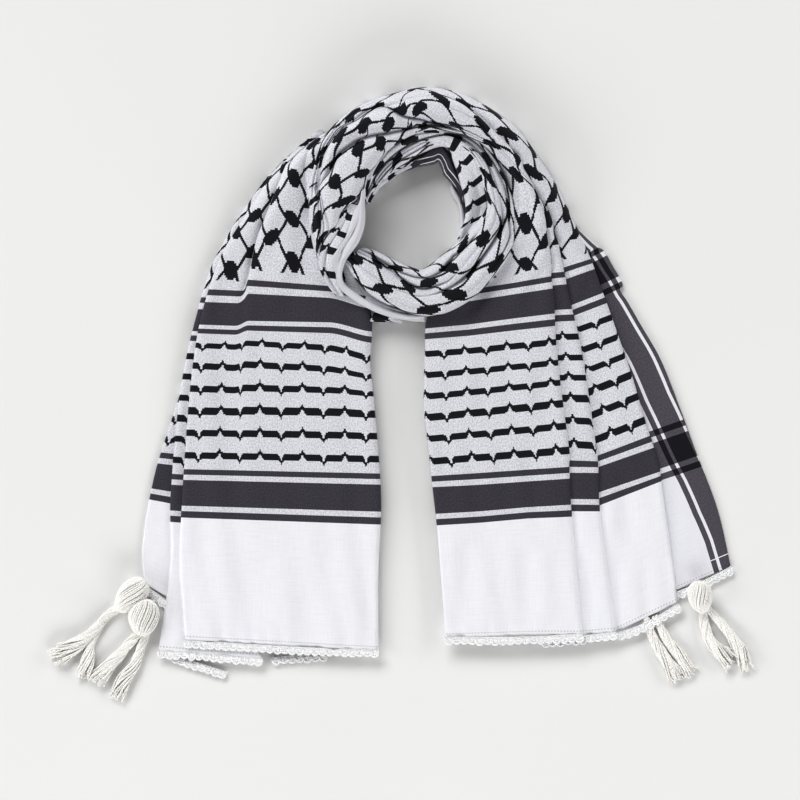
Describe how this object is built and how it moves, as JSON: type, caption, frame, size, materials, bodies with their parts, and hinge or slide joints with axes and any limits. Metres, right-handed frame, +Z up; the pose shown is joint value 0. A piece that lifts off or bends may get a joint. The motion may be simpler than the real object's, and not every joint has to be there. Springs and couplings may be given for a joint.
{
  "type": "square keffiyeh scarf wound into a neck loop and laid flat",
  "caption": "Square cotton scarf with fishnet, leaf and stripe weave, crocheted hems and corner tassels, wound into a neck loop with two tails and laid flat.",
  "frame": {"origin": "bottom centre of the laid scarf's bounding box, on the table", "axes": "+Z up from the table, +Y from the hems towards the neck loop, +X to the right seen from above"},
  "size_m": [0.5342, 0.461, 0.031],
  "materials": {
    "cotton": "soft woven voile, matt",
    "hidden_cotton": "soft woven voile, matt, in shade",
    "crochet": "crocheted cotton, matt",
    "tassel_yarn": "soft twisted cotton yarn"
  },
  "bodies": {
    "root": {"left_tail_front_panel": "cotton", "left_tail_second_fold": "cotton", "left_tail_back_fold": "cotton", "left_shoulder": "cotton", "right_tail_front_panel": "cotton", "right_tail_middle_pleat": "cotton", "right_tail_side_pleat": "cotton", "right_tail_border_layer": "cotton", "neck_outer_wrap": "cotton", "neck_left_rise": "cotton", "neck_front_band": "cotton", "neck_inner_wrap": "cotton", "neck_inner_edge": "cotton", "neck_selvage_twist": "cotton", "left_tail_inner_folds": "hidden_cotton", "right_tail_inner_folds": "hidden_cotton", "neck_outer_inner_folds": "hidden_cotton", "neck_left_inner_folds": "hidden_cotton", "neck_front_inner_folds": "hidden_cotton", "neck_back_inner_folds": "hidden_cotton", "left_front_trim": "crochet", "left_second_trim": "crochet", "left_inner_trim": "crochet", "left_corner_trim": "crochet", "left_back_trim": "crochet", "right_front_trim": "crochet", "right_middle_trim": "crochet", "right_side_trim": "crochet", "right_border_trim": "crochet", "left_back_tassel_ball": "tassel_yarn", "left_back_tassel_strand_a": "tassel_yarn", "left_back_tassel_strand_b": "tassel_yarn", "left_front_tassel_ball": "tassel_yarn", "left_front_tassel_strand_a": "tassel_yarn", "left_front_tassel_strand_b": "tassel_yarn", "right_border_tassel_ball": "tassel_yarn", "right_border_tassel_strand_a": "tassel_yarn", "right_border_tassel_strand_b": "tassel_yarn", "right_side_tassel_strand_a": "tassel_yarn", "right_side_tassel_strand_b": "tassel_yarn"}
  },
  "joints": []
}
